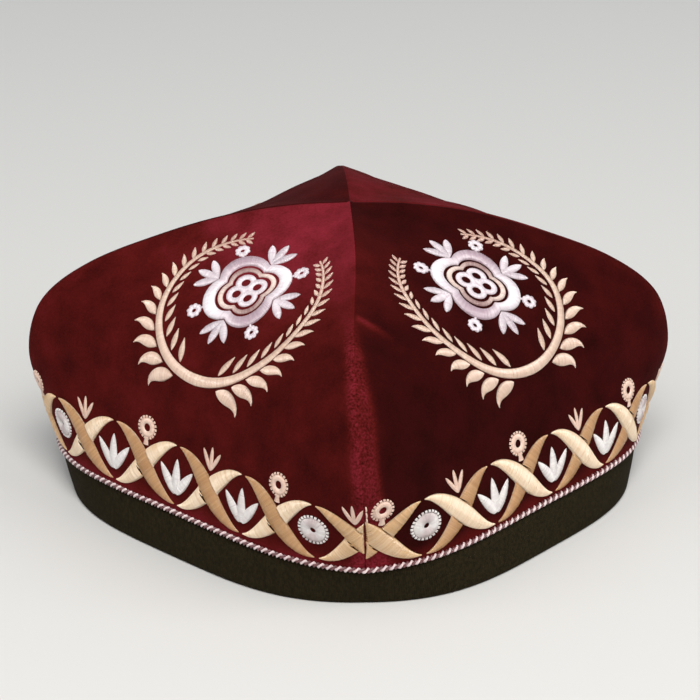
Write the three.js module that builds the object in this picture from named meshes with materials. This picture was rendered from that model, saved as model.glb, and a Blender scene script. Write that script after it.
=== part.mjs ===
// A four-panel velvet skullcap with a woven rim binding, standing on its rim.
// Millimetres, +Z up. The rim's flat underside lies on Z = 0 and the front seam faces -Y.
import * as THREE from "three";

// Wall sizes
const VELVET_WALL = 2.4;
const RIM_WALL = 3.4;
const LIP_WALL = 1.2;

// Gaps that keep the sewn pieces apart
const SEAM_GAP = 0.3;
const SEAT_GAP = 0.3;

// The rim's outline where it meets the table: its reach at the seams and how tightly it turns there
const RIM_SEAM_OUT = 98.0;
const RIM_CORNER = 3.6;

// How far up the panels the binding's inner lip reaches, as a share of the way to the apex
const LIP_RISE = 0.05;

// A panel's sections, from its lower edge to the apex.
// rise is the share of the way up. out is the distance from the axis and up the height,
// at the seam and in the panel's middle. A larger corner turns more tightly at the seam.
const SECTIONS = [
  { rise: 0.00, seamOut: 101.6, seamUp: 13.5, midOut: 86.6, midUp: 15.2, corner: 4.0 },
  { rise: 0.10, seamOut: 105.8, seamUp: 28.5, midOut: 85.6, midUp: 28.2, corner: 4.5 },
  { rise: 0.22, seamOut: 111.5, seamUp: 48.0, midOut: 82.0, midUp: 45.0, corner: 8.0 },
  { rise: 0.33, seamOut: 106.5, seamUp: 67.0, midOut: 77.6, midUp: 60.0, corner: 6.0 },
  { rise: 0.45, seamOut: 90.5, seamUp: 80.2, midOut: 68.0, midUp: 72.0, corner: 3.0 },
  { rise: 0.60, seamOut: 66.5, seamUp: 90.0, midOut: 51.5, midUp: 83.5, corner: 2.0 },
  { rise: 0.75, seamOut: 42.0, seamUp: 97.2, midOut: 33.0, midUp: 92.6, corner: 2.0 },
  { rise: 0.88, seamOut: 20.0, seamUp: 100.6, midOut: 16.0, midUp: 98.3, corner: 2.0 },
  { rise: 1.00, seamOut: 0.0, seamUp: 101.4, midOut: 0.0, midUp: 101.4, corner: 2.0 },
];

// The four seams, counterclockwise from above. The soft shoulder of each one stands a little
// higher or lower than its neighbours and sways a little to one side.
const SEAMS = [
  { azimuth: 270, lift: 0.0, sway: -3.0 },
  { azimuth: 0, lift: -0.8, sway: 0.0 },
  { azimuth: 90, lift: 0.5, sway: 0.0 },
  { azimuth: 180, lift: 0.0, sway: 0.0 },
];
const SHOULDER = { rise: 0.42, reach: 0.40 };

// Each panel runs from the seam of the same row to the next one. swell raises its middle,
// and rimOut is how far the rim below its middle stands out from the axis.
const PANELS = [
  { name: "panel_front_right", swell: 1.5, rimOut: 90.6 },
  { name: "panel_back_right", swell: 3.0, rimOut: 89.0 },
  { name: "panel_back_left", swell: 1.2, rimOut: 89.0 },
  { name: "panel_front_left", swell: 0.0, rimOut: 89.0 },
];
const SWELL = { rise: 0.62, reach: 0.35 };

// Mesh steps across each panel and from its lower edge to the apex
const ACROSS_STEPS = 18;
const RISE_STEPS = 18;

// How quickly a wall's direction turns to the seam's own near a panel's edge
const MITRE_POWER = 8;
const NORMAL_STEP = 0.002;

const UP = new THREE.Vector3(0, 0, 1);

const velvet = new THREE.MeshStandardMaterial({ color: 0x5e1522, roughness: 0.85, metalness: 0 });
const wovenBlack = new THREE.MeshStandardMaterial({ color: 0x1f1b15, roughness: 0.9, metalness: 0 });

// The direction out from the axis at an azimuth in degrees
function outward(azimuth) {
  const angle = THREE.MathUtils.degToRad(azimuth);
  return new THREE.Vector3(Math.cos(angle), Math.sin(angle), 0);
}

// A smooth bump of height 1 round a middle rise, falling to 0 at its reach
function bump(rise, { rise: middle, reach }) {
  const offset = THREE.MathUtils.clamp((rise - middle) / reach, -1, 1);
  return 0.5 * (1 + Math.cos(Math.PI * offset));
}

// The slope of a column at a row of the section table
function columnSlope(column, row) {
  const below = SECTIONS[Math.max(row - 1, 0)];
  const above = SECTIONS[Math.min(row + 1, SECTIONS.length - 1)];
  return (above[column] - below[column]) / (above.rise - below.rise);
}

// A column of the section table, read smoothly at any rise
function section(column, rise) {
  const last = SECTIONS.length - 2;
  const row = Math.min(last, Math.max(0, SECTIONS.findLastIndex((entry) => entry.rise <= rise)));
  const lower = SECTIONS[row];
  const upper = SECTIONS[row + 1];
  const span = upper.rise - lower.rise;
  const t = (rise - lower.rise) / span;
  const s = 1 - t;
  return (
    s * s * (1 + 2 * t) * lower[column] +
    t * s * s * span * columnSlope(column, row) +
    t * t * (3 - 2 * t) * upper[column] -
    t * t * s * span * columnSlope(column, row + 1)
  );
}

// A point on a seam's outer edge
function seamPoint(seam, rise) {
  const { azimuth, lift, sway } = SEAMS[seam % SEAMS.length];
  const shoulder = bump(rise, SHOULDER);
  const out = outward(azimuth);
  return out
    .clone()
    .multiplyScalar(section("seamOut", rise))
    .addScaledVector(UP.clone().cross(out), sway * shoulder)
    .addScaledVector(UP, section("seamUp", rise) + lift * shoulder);
}

// The direction that a panel's middle faces, seen from above
function panelFacing(panel) {
  return outward(SEAMS[panel].azimuth + 45);
}

// A point on a panel's outer face: across runs from -1 at its first seam to 1 at its second
function panelPoint(panel, across, rise) {
  const start = seamPoint(panel, rise);
  const end = seamPoint(panel + 1, rise);
  const chordOut = section("seamOut", rise) * Math.SQRT1_2;
  const bulge = (section("midOut", rise) - chordOut) * (1 - Math.abs(across) ** section("corner", rise));
  const middleUp = section("midUp", rise) + PANELS[panel].swell * bump(rise, SWELL);
  const drop = (middleUp - section("seamUp", rise)) * (1 - across * across);
  return start
    .lerp(end, (1 + across) / 2)
    .addScaledVector(panelFacing(panel), bulge)
    .addScaledVector(UP, drop);
}

// A panel's own outward normal, ignoring its neighbours
function panelNormal(panel, across, rise) {
  const left = Math.max(across - NORMAL_STEP, -1);
  const right = Math.min(across + NORMAL_STEP, 1);
  const low = Math.max(rise - NORMAL_STEP, 0);
  const high = Math.min(rise + NORMAL_STEP, 1 - NORMAL_STEP);
  const along = panelPoint(panel, right, rise).sub(panelPoint(panel, left, rise));
  const upward = panelPoint(panel, across, high).sub(panelPoint(panel, across, low));
  return along.cross(upward).normalize();
}

// The direction through the wall where two panels meet, long enough to keep the wall's thickness
function seamNormal(seam, rise) {
  const before = (seam + PANELS.length - 1) % PANELS.length;
  const sum = panelNormal(before, 1, rise).add(panelNormal(seam % PANELS.length, -1, rise));
  return sum.multiplyScalar(2 / sum.lengthSq());
}

// The direction through a panel's wall: its own normal in the middle, the seam's at its edges
function wallNormal(panel, across, rise) {
  if (rise >= 1) {
    return UP.clone();
  }
  const edge = seamNormal(across < 0 ? panel : panel + 1, rise);
  return panelNormal(panel, across, rise).lerp(edge, Math.abs(across) ** MITRE_POWER);
}

// A point at a depth under a panel's outer face
function wallPoint(panel, across, rise, depth) {
  return panelPoint(panel, across, rise).addScaledVector(wallNormal(panel, across, rise), -depth);
}

// Steps across a panel, closer together towards its seams
function acrossSteps() {
  return Array.from({ length: ACROSS_STEPS + 1 }, (_, step) => -Math.cos((Math.PI * step) / ACROSS_STEPS));
}

// An indexed geometry from points and triangles
function solidGeometry(points, triangles) {
  const geometry = new THREE.BufferGeometry();
  geometry.setFromPoints(points);
  geometry.setIndex(triangles.flat());
  geometry.computeVertexNormals();
  return geometry;
}

// Two triangles for a quad whose corners run counterclockwise seen from outside
function quad(a, b, c, d) {
  return [
    [a, b, c],
    [a, c, d],
  ];
}

// One crown panel: an outer and an inner face, joined along its lower edge and its two seams
function makePanel(panel) {
  const columns = acrossSteps();
  const width = columns.length;
  const points = [];
  const triangles = [];
  const standOff = panelFacing(panel).multiplyScalar(SEAM_GAP * Math.SQRT1_2);
  for (const depth of [0, VELVET_WALL]) {
    for (let row = 0; row < RISE_STEPS; row += 1) {
      for (const across of columns) {
        points.push(wallPoint(panel, across, row / RISE_STEPS, depth).add(standOff));
      }
    }
    points.push(wallPoint(panel, 0, 1, depth).add(standOff));
  }
  const outerTip = width * RISE_STEPS;
  const inner = outerTip + 1;
  const innerTip = inner + outerTip;
  const at = (row, column) => row * width + column;
  const lastColumn = width - 1;
  const topRow = RISE_STEPS - 1;
  for (let row = 0; row < topRow; row += 1) {
    for (let column = 0; column < lastColumn; column += 1) {
      const [a, b] = [at(row, column), at(row, column + 1)];
      const [c, d] = [at(row + 1, column + 1), at(row + 1, column)];
      triangles.push(...quad(a, b, c, d), ...quad(inner + d, inner + c, inner + b, inner + a));
    }
  }
  for (let column = 0; column < lastColumn; column += 1) {
    const [a, b] = [at(topRow, column), at(topRow, column + 1)];
    triangles.push([a, b, outerTip], [inner + b, inner + a, innerTip]);
    triangles.push(...quad(inner + column, inner + column + 1, column + 1, column));
  }
  for (let row = 0; row < topRow; row += 1) {
    const [a, b] = [at(row, 0), at(row + 1, 0)];
    const [c, d] = [at(row, lastColumn), at(row + 1, lastColumn)];
    triangles.push(...quad(inner + a, a, b, inner + b), ...quad(c, inner + c, inner + d, d));
  }
  const [firstEdge, lastEdge] = [at(topRow, 0), at(topRow, lastColumn)];
  triangles.push(...quad(inner + firstEdge, firstEdge, outerTip, innerTip));
  triangles.push(...quad(lastEdge, inner + lastEdge, innerTip, outerTip));
  const mesh = new THREE.Mesh(solidGeometry(points, triangles), velvet);
  mesh.name = PANELS[panel].name;
  return mesh;
}

// A point on the rim's outline, moved inwards by a depth
function rimPoint(panel, across, depth) {
  const facing = panelFacing(panel);
  const sideways = UP.clone().cross(facing);
  const chordOut = RIM_SEAM_OUT * Math.SQRT1_2;
  const bulge = PANELS[panel].rimOut - chordOut;
  const slope = (bulge * RIM_CORNER * Math.abs(across) ** (RIM_CORNER - 1)) / chordOut;
  const normal = facing.clone().addScaledVector(sideways, Math.sign(across) * slope).normalize();
  return facing
    .multiplyScalar(chordOut + bulge * (1 - Math.abs(across) ** RIM_CORNER))
    .addScaledVector(sideways, chordOut * across)
    .addScaledVector(normal, -depth);
}

// The binding's section at one place on the rim, from its outer lower edge round to its inner one
function bindingSection(panel, across) {
  const behind = VELVET_WALL + SEAT_GAP;
  const ledgeDrop = new THREE.Vector3(0, 0, -SEAT_GAP);
  return [
    rimPoint(panel, across, 0),
    wallPoint(panel, across, 0, 0).add(ledgeDrop),
    wallPoint(panel, across, 0, behind).add(ledgeDrop),
    wallPoint(panel, across, LIP_RISE, behind),
    wallPoint(panel, across, LIP_RISE, behind + LIP_WALL),
    wallPoint(panel, across, 0, behind + LIP_WALL).add(ledgeDrop),
    rimPoint(panel, across, RIM_WALL),
  ];
}

// The binding: its section carried once round the rim
function makeBinding() {
  const places = PANELS.flatMap((_, panel) => acrossSteps().slice(0, -1).map((across) => [panel, across]));
  const sections = places.map(([panel, across]) => bindingSection(panel, across));
  const sides = sections[0].length;
  const triangles = [];
  for (let place = 0; place < sections.length; place += 1) {
    const next = (place + 1) % sections.length;
    for (let side = 0; side < sides; side += 1) {
      const following = (side + 1) % sides;
      const [a, b] = [place * sides + side, next * sides + side];
      const [c, d] = [next * sides + following, place * sides + following];
      triangles.push(...quad(a, b, c, d));
    }
  }
  const mesh = new THREE.Mesh(solidGeometry(sections.flat(), triangles), wovenBlack);
  mesh.name = "rim_binding";
  return mesh;
}

const cap = new THREE.Group();
cap.name = "cap";
PANELS.forEach((_, panel) => cap.add(makePanel(panel)));
cap.add(makeBinding());

export default cap;
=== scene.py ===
# A four-panel velvet skullcap, embroidered with satin stitch, with a woven binding round its rim.
# Sizes are in millimetres and are turned to metres where a mesh is made.
import math

import bpy
import numpy as np
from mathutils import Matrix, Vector


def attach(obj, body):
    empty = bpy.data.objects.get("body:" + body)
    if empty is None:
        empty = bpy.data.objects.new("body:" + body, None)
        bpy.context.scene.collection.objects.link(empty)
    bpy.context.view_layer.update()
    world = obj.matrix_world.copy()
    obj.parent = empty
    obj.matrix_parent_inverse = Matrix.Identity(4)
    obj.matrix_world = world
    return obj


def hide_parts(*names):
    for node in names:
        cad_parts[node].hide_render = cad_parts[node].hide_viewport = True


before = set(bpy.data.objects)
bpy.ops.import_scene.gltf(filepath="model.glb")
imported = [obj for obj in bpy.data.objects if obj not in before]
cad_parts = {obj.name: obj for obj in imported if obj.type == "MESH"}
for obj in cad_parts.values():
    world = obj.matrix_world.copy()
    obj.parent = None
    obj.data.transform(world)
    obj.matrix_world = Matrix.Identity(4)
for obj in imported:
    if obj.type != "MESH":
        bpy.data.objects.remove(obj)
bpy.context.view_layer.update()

# A millimetre in metres, and the direction up
MM = 0.001
UP = np.array((0.0, 0.0, 1.0))

# The velvet's wall, the gap between two panels, and the gap between a panel and the binding
VELVET_WALL = 2.4
SEAM_GAP = 0.3
SEAT_GAP = 0.3

# A panel's sections, from its lower edge to the apex: out from the axis and up from the table,
# at the seam and in the panel's middle. A larger corner turns more tightly at the seam.
SECTION_COLUMNS = ("rise", "seam_out", "seam_up", "mid_out", "mid_up", "corner")
SECTION_ROWS = (
    (0.00, 101.6, 13.5, 86.6, 15.2, 4.0),
    (0.10, 105.8, 28.5, 85.6, 28.2, 4.5),
    (0.22, 111.5, 48.0, 82.0, 45.0, 8.0),
    (0.33, 106.5, 67.0, 77.6, 60.0, 6.0),
    (0.45, 90.5, 80.2, 68.0, 72.0, 3.0),
    (0.60, 66.5, 90.0, 51.5, 83.5, 2.0),
    (0.75, 42.0, 97.2, 33.0, 92.6, 2.0),
    (0.88, 20.0, 100.6, 16.0, 98.3, 2.0),
    (1.00, 0.0, 101.4, 0.0, 101.4, 2.0),
)
SECTIONS = dict(zip(SECTION_COLUMNS, np.array(SECTION_ROWS).T))

# The seams, counterclockwise from above: azimuth, the shoulder's lift and sway, and how strong the painted
# highlight on the pile beside the seam is
SEAM_COLUMNS = ("azimuth", "lift", "sway", "highlight")
SEAM_ROWS = (
    (270.0, 0.0, -3.0, 1.00),
    (0.0, -0.8, 0.0, 0.15),
    (90.0, 0.5, 0.0, 0.50),
    (180.0, 0.0, 0.0, 0.15),
)
SEAMS = [dict(zip(SEAM_COLUMNS, row)) for row in SEAM_ROWS]

# Where up the seams the shoulder is, and how far from there it reaches
SHOULDER_RISE = 0.42
SHOULDER_REACH = 0.40

# The panels, each from the seam of its own row to the next: its middle's swell and how far the rim below
# its middle stands out; how far its border sits to the right at its ends, how much more in its middle, and
# how far up; and how much its painted thread sheen favours the upper strand of its twist over the lower one
PANEL_COLUMNS = ("name", "swell", "rim_out", "border_shift", "border_bow", "border_raise", "painted_gleam")
PANEL_ROWS = (
    ("front_right", 1.5, 90.6, 1.9, 4.3, -0.6, 0.8),
    ("back_right", 3.0, 89.0, 0.7, 0.0, 0.0, -0.8),
    ("back_left", 1.2, 89.0, 0.7, 0.0, 0.0, 0.8),
    ("front_left", 0.0, 89.0, 0.7, 0.0, 0.0, -0.8),
)
PANELS = [dict(zip(PANEL_COLUMNS, row)) for row in PANEL_ROWS]

# The seams stand at a square's corners: half of its side, for corners at a distance of 1
HALF_SIDE = math.sqrt(0.5)

# Where up the panels the swell is, how far from there it reaches, and about how long a panel is
SWELL_RISE = 0.62
SWELL_REACH = 0.35
PANEL_LENGTH = 150.0

# Each panel's painted sheen and shade, standing in for how light falls on its pile: how bright the velvet
# is
# low down: in its middle, and how much more towards its first and its second seam; then what its upper part
# adds, in the same three places; then how deep its crease is
SHEEN_COLUMNS = ("low", "low_first", "low_second", "top", "top_first", "top_second", "crease")
SHEEN_ROWS = (
    (0.080, -0.01, 0.030, 0.00, 0.26, 0.00, 1.0),
    (0.250, 0.00, 0.000, 0.08, 0.00, 0.00, 0.0),
    (0.130, 0.00, 0.000, 0.00, 0.00, 0.00, 0.0),
    (0.205, 0.00, -0.040, 0.37, -0.52, -0.33, 0.0),
)
SHEENS = [dict(zip(SHEEN_COLUMNS, row)) for row in SHEEN_ROWS]

# The rises between which the upper part's share grows, and how far from the middle a seam's share is full
SHEEN_TOP_FROM = 0.44
SHEEN_TOP_TO = 0.80
SHEEN_REACH = 72.0

# Mesh steps of each panel's velvet, how late its wall turns towards the seam, and the step of its normals
ACROSS_STEPS = 96
RISE_STEPS = 160
MITRE_POWER = 8
NORMAL_STEP = 0.002

# The velvet rolls in at the seams, and is a little uneven away from them: wavelength, height and direction
SEAM_ROLL = 0.5
SEAM_ROLL_REACH = 1.6
UNEVEN_FADE = 12.0
UNEVEN_ROWS = (
    (31.0, 0.22, (0.8, 0.5, 0.3)),
    (23.0, 0.16, (-0.4, 0.7, 0.6)),
    (17.0, 0.10, (0.5, -0.6, 0.7)),
)

# A painted highlight on the pile, in a band along each seam low on the crown, which reaches further to the
# right of the seam lower down; painted light also makes the velvet brighter along the foot
SEAM_PAINTED_HIGHLIGHT = 0.25
HIGHLIGHT_TOP = 0.58
HIGHLIGHT_SPREAD = 0.24
HIGHLIGHT_FADE = 0.4
HIGHLIGHT_LEFT = 3.1
HIGHLIGHT_RIGHT = 6.5
HIGHLIGHT_SOFT = 1.3
FOOT_PAINTED_LIGHT = 0.22
FOOT_PAINTED_LIGHT_TOP = 0.05

# The crease: a small fold at the shoulder that leaves a panel's first seam and runs down into the panel;
# it stands out from the velvet and carries a painted highlight
CREASE_RISE = 0.576
CREASE_FALL = 0.0042
CREASE_WIDTH = 1.2
CREASE_START = 1.5
CREASE_REACH = 17.0
CREASE_FADE = 9.0
CREASE_HEIGHT = 0.35
CREASE_PAINTED_HIGHLIGHT = 0.24

# The rim's outline on the table, the binding's walls and its soft edges
RIM_SEAM_OUT = 98.0
RIM_CORNER = 3.6
RIM_WALL = 3.4
LIP_WALL = 1.2
LIP_RISE = 0.05
BINDING_ROUND = 1.2
BINDING_BULGE = 0.4
BINDING_STEPS = 96

# The binding's cross-section: angles round its lower edge, shares of the way up its outer side, and how
# round its upper and inner edges are beside the lower one
BINDING_TURNS = (0.0, 22.5, 45.0, 67.5, 90.0)
BINDING_SHARES = (0.2, 0.4, 0.6, 0.8, 0.93)
HEAD_ROUND = 0.4
INNER_ROUND = 0.3

# Embroidery thread: how far apart the stitches lie, how thick they are and how they are padded
STITCH_PITCH = 0.38
THREAD_WIDTH = 0.50
THREAD_HEIGHT = 0.30
STITCH_SINK = 0.25
PAD_SHARE = 0.16
PAD_MOST = 1.0
CREST_SPREAD = 0.04

# Stitches end at the seams and beside what covers them, found in steps; the shortest are left out
SEAM_EDGE = 0.999
TRIM_STEPS = 41
STITCH_LEAST = 0.25

# A stitch's tone runs from 0, its thread's deepest colour, to 1, the palest, and holds painted sheen and
# shade beside the thread's own colour: the middle and its spread, the share of the painted sheen at the
# border's ends, what some flowers add, the painted shade on the rosettes' upright stitches, and the
# medallion's offset
TONE_MIDDLE = 0.5
TONE_SPREAD = 0.09
END_PAINTED_GLEAM = 0.2
FLOWER_TONE = 0.30
ROSETTE_PAINTED_SHADE = 0.75
MEDALLION_TONE = -0.10

# Points along the paths that stitches follow
PETAL_STEPS = 24
STRAND_STEPS = 60
STEM_STEPS = 120
RING_STEPS = 90

# A place on a panel is found in rounds from measured lengths: in the border, and round the medallion
BORDER_GRID = (401, 21)
BORDER_TOP = 0.4
BORDER_ROUNDS = 4
BORDER_LIMITS = (0.0005, 0.9)
REACH_LEAST = 0.01
MIDDLE_STEPS = 400
MIDDLE_TOP = 0.99
MEDALLION_ROUNDS = 6
MEDALLION_LIMITS = (0.001, 0.98)

# Along a stitch: the share of its length, of its lift and of its width
STITCH_ROWS = np.array((
    (0.00, 0.00, 0.40),
    (0.13, 0.76, 1.00),
    (0.50, 1.00, 1.00),
    (0.87, 0.76, 1.00),
    (1.00, 0.00, 0.40),
))

# The border's twist: two strands that cross every pitch and run out to points between; the upper one
# overlaps the cut ends of the lower one
BORDER_PITCH = 29.4
BORDER_MIDDLE = 13.7
BORDER_SWING = 10.3
BORDER_CROSSINGS = 6
BORDER_HALF = BORDER_PITCH * (BORDER_CROSSINGS - 1) / 2
STRAND_HALF = 3.6
STRAND_REACH = 0.97
STRAND_TAPER = 1.6
STRAND_OVERLAP = 0.12

# Petals that open from one base: how far up it is, for the tulips from the border's middle; each tip's
# place from it, sideways and upwards, and half the width; how sharply they narrow to their base and tip
TULIP_BASE = -6.4
TULIP_PETALS = ((0.0, 12.2, 1.9), (7.0, 9.3, 1.9), (-7.0, 9.3, 1.9))
TULIP_POWERS = (0.4, 0.7)
TOPPER_BASE = 20.4
TOPPER_PETALS = ((0.0, 7.9, 0.85), (3.7, 6.6, 0.85), (-3.7, 6.6, 0.85))
TOPPER_POWERS = (0.5, 0.5)
SPRIG_BASE = 13.0
SPRIG_PETALS = ((0.0, 9.6, 1.65), (5.6, 7.4, 1.65), (-5.6, 7.4, 1.65))
SPRIG_POWERS = (0.9, 0.7)

# The beaded rosettes in the border's outer openings, a little inwards, and the beaded rings on every other
# crossing: hole, radius, how many beads and how far out they reach; beads start inside the edge
ROSETTE = (0.8, 4.7, 24, 5.6)
ROSETTE_UP = 14.4
ROSETTE_INSET = 0.7
TOPPER_RING = (1.2, 3.4, 18, 4.2)
TOPPER_RING_UP = 25.9
BEAD_OVERLAP = 0.25
BEAD_SPREAD = 0.22

# The short feet of the beaded rings and of the medallion's rings: how far up, and half the width there
TOPPER_FOOT = ((20.0, 1.3), (22.6, 0.7))
PETAL_FOOT = ((15.8, 0.5), (17.2, 0.5))

# The stitches up the front seam above its border: the panel that they are beside, how far from the seam,
# where they start and end along it, and how many they are
TACK_PANEL = 0
TACK_OFFSET = 0.6
TACK_SPAN = (20.0, 26.8)
TACK_COUNT = 3

# Each panel's medallion and wreath: how far they sit to the right and up, how they lean, their size,
# and how far the wreath alone sits to the right
MEDALLION_COLUMNS = ("shift", "raise", "lean", "scale", "wreath_shift")
MEDALLION_ROWS = (
    (5.4, -1.0, -0.070, 0.985, -2.1),
    (0.0, -20.0, 0.000, 0.710, 0.0),
    (0.0, -20.0, 0.000, 0.710, 0.0),
    (1.2, 1.0, -0.045, 1.015, 1.2),
)
MEDALLIONS = [dict(zip(MEDALLION_COLUMNS, row)) for row in MEDALLION_ROWS]

# The medallion's middle on the panel, its rings as quatrefoils: lobe centre, lobe radius, and its flower
MEDALLION_UP = 82.0
FOIL_OUTER = (7.1, 9.2)
FOIL_INNER = (4.9, 6.4)
BAND_OUTER = (4.5, 6.1)
BAND_INNER = (3.9, 4.6)
FLOWER_CENTRE = 3.7
FLOWER_RADIUS = 3.8
FLOWER_HOLE = 1.45
FLOWER_MIDDLE = 1.6
FLOWER_MIDDLE_HOLE = 0.1

# The small rings outside it: how far out, the radius, depth and number of an edge's lobes, and the hole
PETAL_RING_OUT = 19.3
PETAL_RING_EDGE = (2.9, 0.5, 8)
PETAL_RING_HOLE = 0.6

# The wreath: an open ring of leaves round the medallion, measured in degrees from its bottom
WREATH_DROP = 5.3
WREATH_RADIUS = 29.7
WREATH_TIP = 149.0
STEM_ANGLES = (0.0, 55.0, 85.0, 149.0)
STEM_WIDTHS = (4.2, 2.9, 2.0, 0.9)

# The leaves on the stem's outer and inner edges, at angles from the wreath's bottom: the step to the next
# leaf, the base's place beyond the stem's middle, the length, the width's share of it, the lean away from
# the stem and the curl of the tip
LEAF_COLUMNS = ("angle", "step", "base", "length", "width", "lean", "curl")
OUTER_LEAF_ROWS = (
    (17.0, 11.8, 2.6, 13.7, 0.37, 48.0, 95.0),
    (60.0, 10.0, 1.3, 9.9, 0.35, 48.0, 56.0),
    (100.0, 7.8, 0.5, 5.6, 0.34, 46.0, 12.0),
    (149.0, 5.0, 0.4, 3.6, 0.38, 42.0, 0.0),
)
INNER_LEAF_ROWS = (
    (18.0, 12.6, -2.0, 9.2, 0.28, -51.0, 0.0),
    (60.0, 11.6, -2.2, 6.8, 0.28, -30.0, 0.0),
    (100.0, 9.0, -1.9, 4.6, 0.32, -16.0, 0.0),
    (118.0, 6.0, -0.5, 3.8, 0.45, -40.0, 0.0),
    (149.0, 5.0, -0.4, 3.6, 0.45, -42.0, 0.0),
)
OUTER_LEAVES = dict(zip(LEAF_COLUMNS, np.array(OUTER_LEAF_ROWS).T))
INNER_LEAVES = dict(zip(LEAF_COLUMNS, np.array(INNER_LEAF_ROWS).T))
LEAF_POWERS = (0.9, 1.35)
CURL_POWER = 3

# The wreath's stitches look deeper towards its tips: how much, from how far up, and over what height
WREATH_FADE = 0.5
WREATH_FADE_FROM = 2.0
WREATH_FADE_REACH = 22.0

# The twisted cord along the velvet's lower edge, one ply pale and one dark
CORD_PITCH = 2.9
CORD_PLY = 0.56
CORD_OFFSET = 0.48
CORD_UP = 0.9
CORD_TONES = (1.0, 0.0)
CORD_COLUMNS = 400
CORD_TURN_STEPS = 10
CORD_SIDES = 6

# How much the velvet's pile and its brushed patches change its painted sheen, the pile more in the painted
# highlight along the seams, and the colours by how bright the painted sheen and shade make it
PILE_CONTRAST = 0.8
HIGHLIGHT_CONTRAST = 2.0
BRUSH_CONTRAST = 1.6
BRUSH_LEAST = 0.2
VELVET_COLOURS = (
    (0.0, (0.0040, 0.0003, 0.0003)),
    (0.25, (0.0780, 0.0054, 0.0046)),
    (1.0, (0.3000, 0.0225, 0.0420)),
)

# The colours of the velvet's back, through its weave
BACK_COLOURS = ((0.3, (0.030, 0.006, 0.009)), (0.7, (0.085, 0.018, 0.026)))

# The ribbon's ribs and the finer weft across them, how high the weft is beside the ribs, and its colours
RIB_PITCH = 0.8
WEFT_PITCH = 0.5
WEFT_SHARE = 0.35
RIBBON_COLOURS = ((0.3, (0.011, 0.008, 0.0030)), (0.75, (0.025, 0.018, 0.0070)))

# The threads: how glossy each is, and its colours from deep to pale, across which each stitch's tone
# moves with its painted sheen and shade
THREAD_ROWS = {
    "gold": (1.0, (0.54, 0.25, 0.055), (0.75, 0.45, 0.18), (0.98, 0.77, 0.54)),
    "cream": (0.8, (0.60, 0.35, 0.27), (0.97, 0.78, 0.60)),
    "white": (0.8, (0.52, 0.37, 0.43), (0.97, 0.92, 0.95)),
    "ivory": (0.8, (0.52, 0.40, 0.40), (0.97, 0.93, 0.90)),
    "pink": (0.4, (0.36, 0.20, 0.19), (0.86, 0.70, 0.62)),
    "peach": (0.6, (0.72, 0.46, 0.36), (0.95, 0.72, 0.58)),
    "edge": (0.4, (0.14, 0.035, 0.040), (0.80, 0.64, 0.64)),
}

# The name of a new material's own shader node
SHADER = "Principled BSDF"

# The floor, the sky and the lights: name, place and size in metres, power and colour
FLOOR_HALF = 6.0
FLOOR_COLOUR = (0.72, 0.71, 0.69, 1.0)
SKY_COLOUR = (0.9, 0.95, 1.0, 1.0)
SKY_STRENGTH = 0.36
LIGHT_ROWS = (
    ("key", (0.05, -1.10, 1.60), 0.8, 26.0, (1.0, 0.98, 0.95)),
    ("left", (-1.30, -0.55, 1.15), 0.9, 6.0, (1.0, 0.99, 0.97)),
    ("right", (1.30, -0.55, 1.15), 0.9, 10.0, (1.0, 0.99, 0.97)),
)

# The camera, fitted to the photograph: a square image, a long lens and a slight turn to the left
CAMERA_DISTANCE = 940.0
CAMERA_ELEVATION = 23.8
CAMERA_TURN = -2.7
CAMERA_AIM = 46.0
SENSOR_WIDTH = 36.0
IMAGE_WIDTH = 700
FOCAL_PIXELS = 2700

# The random draws of the stitches start from this number
SEED = 11


# The direction out from the axis at an azimuth in degrees
def outward(azimuth):
    angle = math.radians(azimuth)
    return np.array((math.cos(angle), math.sin(angle), 0.0))


# A smooth bump of height 1 round a middle, falling to 0 at its reach
def bump(value, middle, reach):
    return 0.5 * (1 + np.cos(np.pi * np.clip((value - middle) / reach, -1, 1)))


# A vector or vectors of length 1
def unit(vectors):
    return vectors / np.linalg.norm(vectors, axis=-1, keepdims=True)


# The distance along rows of points, from the first point of each
def arc_length(points, axis=0):
    lengths = np.cumsum(np.linalg.norm(np.diff(points, axis=axis), axis=-1), axis=axis)
    return np.concatenate((np.zeros_like(lengths.take([0], axis)), lengths), axis=axis)


# Vectors given at distances along a path, read at other distances
def read_along(at, along, vectors):
    return np.stack([np.interp(at, along, column) for column in vectors.T], axis=-1)


# A column of the section table, read smoothly at any rise
def section(column, rise):
    rises = SECTIONS["rise"]
    values = SECTIONS[column]
    rows = np.arange(len(rises))
    below = np.maximum(rows - 1, 0)
    above = np.minimum(rows + 1, len(rises) - 1)
    slopes = (values[above] - values[below]) / (rises[above] - rises[below])
    row = np.clip(np.searchsorted(rises, rise, side="right") - 1, 0, len(rises) - 2)
    span = rises[row + 1] - rises[row]
    t = (rise - rises[row]) / span
    s = 1 - t
    return (
        s * s * (1 + 2 * t) * values[row]
        + t * s * s * span * slopes[row]
        + t * t * (3 - 2 * t) * values[row + 1]
        - t * t * s * span * slopes[row + 1]
    )


# Points on a seam's outer edge
def seam_point(seam, rise):
    row = SEAMS[seam % len(SEAMS)]
    shoulder = bump(rise, SHOULDER_RISE, SHOULDER_REACH)
    out = outward(row["azimuth"])
    return (
        section("seam_out", rise)[..., None] * out
        + (row["sway"] * shoulder)[..., None] * np.cross(UP, out)
        + (section("seam_up", rise) + row["lift"] * shoulder)[..., None] * UP
    )


# The direction that a panel's middle faces, seen from above
def panel_facing(panel):
    return outward(SEAMS[panel]["azimuth"] + 180 / len(SEAMS))


# How far a panel is moved out, so that it keeps half of the gap at both its seams
def stand_off(panel):
    return panel_facing(panel) * SEAM_GAP * HALF_SIDE


# Half of a panel's width, seam to seam, at each rise
def half_width(rise):
    return section("seam_out", rise) * HALF_SIDE


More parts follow.
